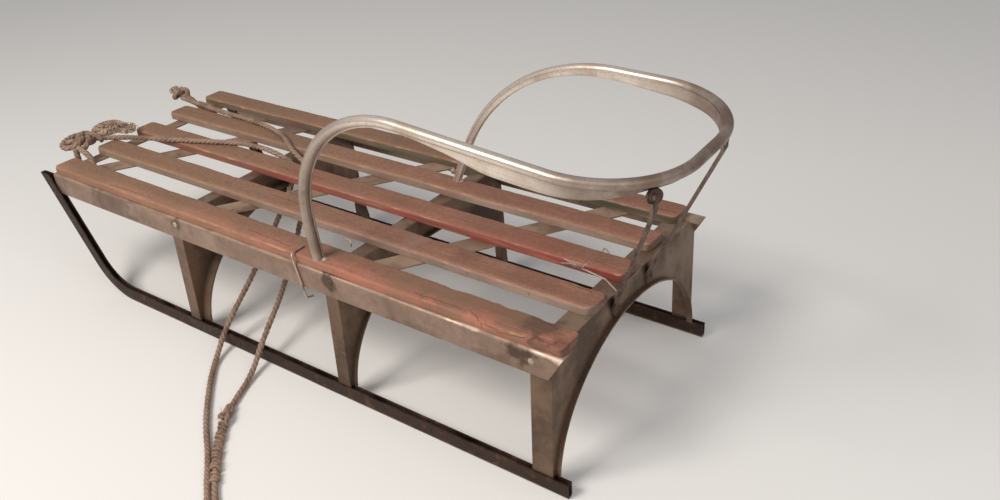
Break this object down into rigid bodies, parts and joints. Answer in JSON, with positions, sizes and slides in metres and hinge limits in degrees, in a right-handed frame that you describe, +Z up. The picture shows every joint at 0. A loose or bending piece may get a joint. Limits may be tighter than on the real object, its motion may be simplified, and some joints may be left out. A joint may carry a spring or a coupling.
{
  "type": "sled",
  "caption": "Child's snow sled: painted wooden slats on pressed sheet arches and channel runners, with a bent metal hand rail round the seat and an old tow rope.",
  "frame": {"origin": "on the ground, midway between the runners, below the middle of the sled's length without the rope", "axes": "+X towards the front, where the runners curve up; +Y to the left; +Z up"},
  "size_m": [0.9482, 0.5937, 0.3638],
  "materials": {
    "orange_slat": "worn orange paint on wood, dusty",
    "pale_slat": "worn pale paint on wood, dusty",
    "red_slat": "worn red paint on wood, dusty",
    "green_slat": "worn dark green paint on wood, dusty",
    "frame_sheet": "dull oxidised sheet",
    "runner": "dark, brown with rust",
    "hand_rail": "satin, scuffed",
    "strut": "rusty, bright on the edges",
    "wire": "bare wire",
    "rope": "old dirty fibre"
  },
  "bodies": {
    "root": {"slat_1": "orange_slat", "slat_2": "pale_slat", "slat_3": "red_slat", "slat_4": "pale_slat", "slat_5": "green_slat", "side_rail_left": "frame_sheet", "side_rail_right": "frame_sheet", "arch_front": "frame_sheet", "arch_middle": "frame_sheet", "arch_rear": "frame_sheet", "brace_front": "frame_sheet", "brace_middle": "frame_sheet", "brace_rear": "frame_sheet", "front_crosspiece": "frame_sheet", "runner_left": "runner", "runner_right": "runner", "hand_rail": "hand_rail", "strut_left": "strut", "strut_right": "strut", "wire_clip": "wire", "tie_wire": "wire", "tow_rope": "rope", "rope_knot_left": "rope", "rope_knot_right": "rope", "rope_knot_join": "rope"}
  },
  "joints": []
}
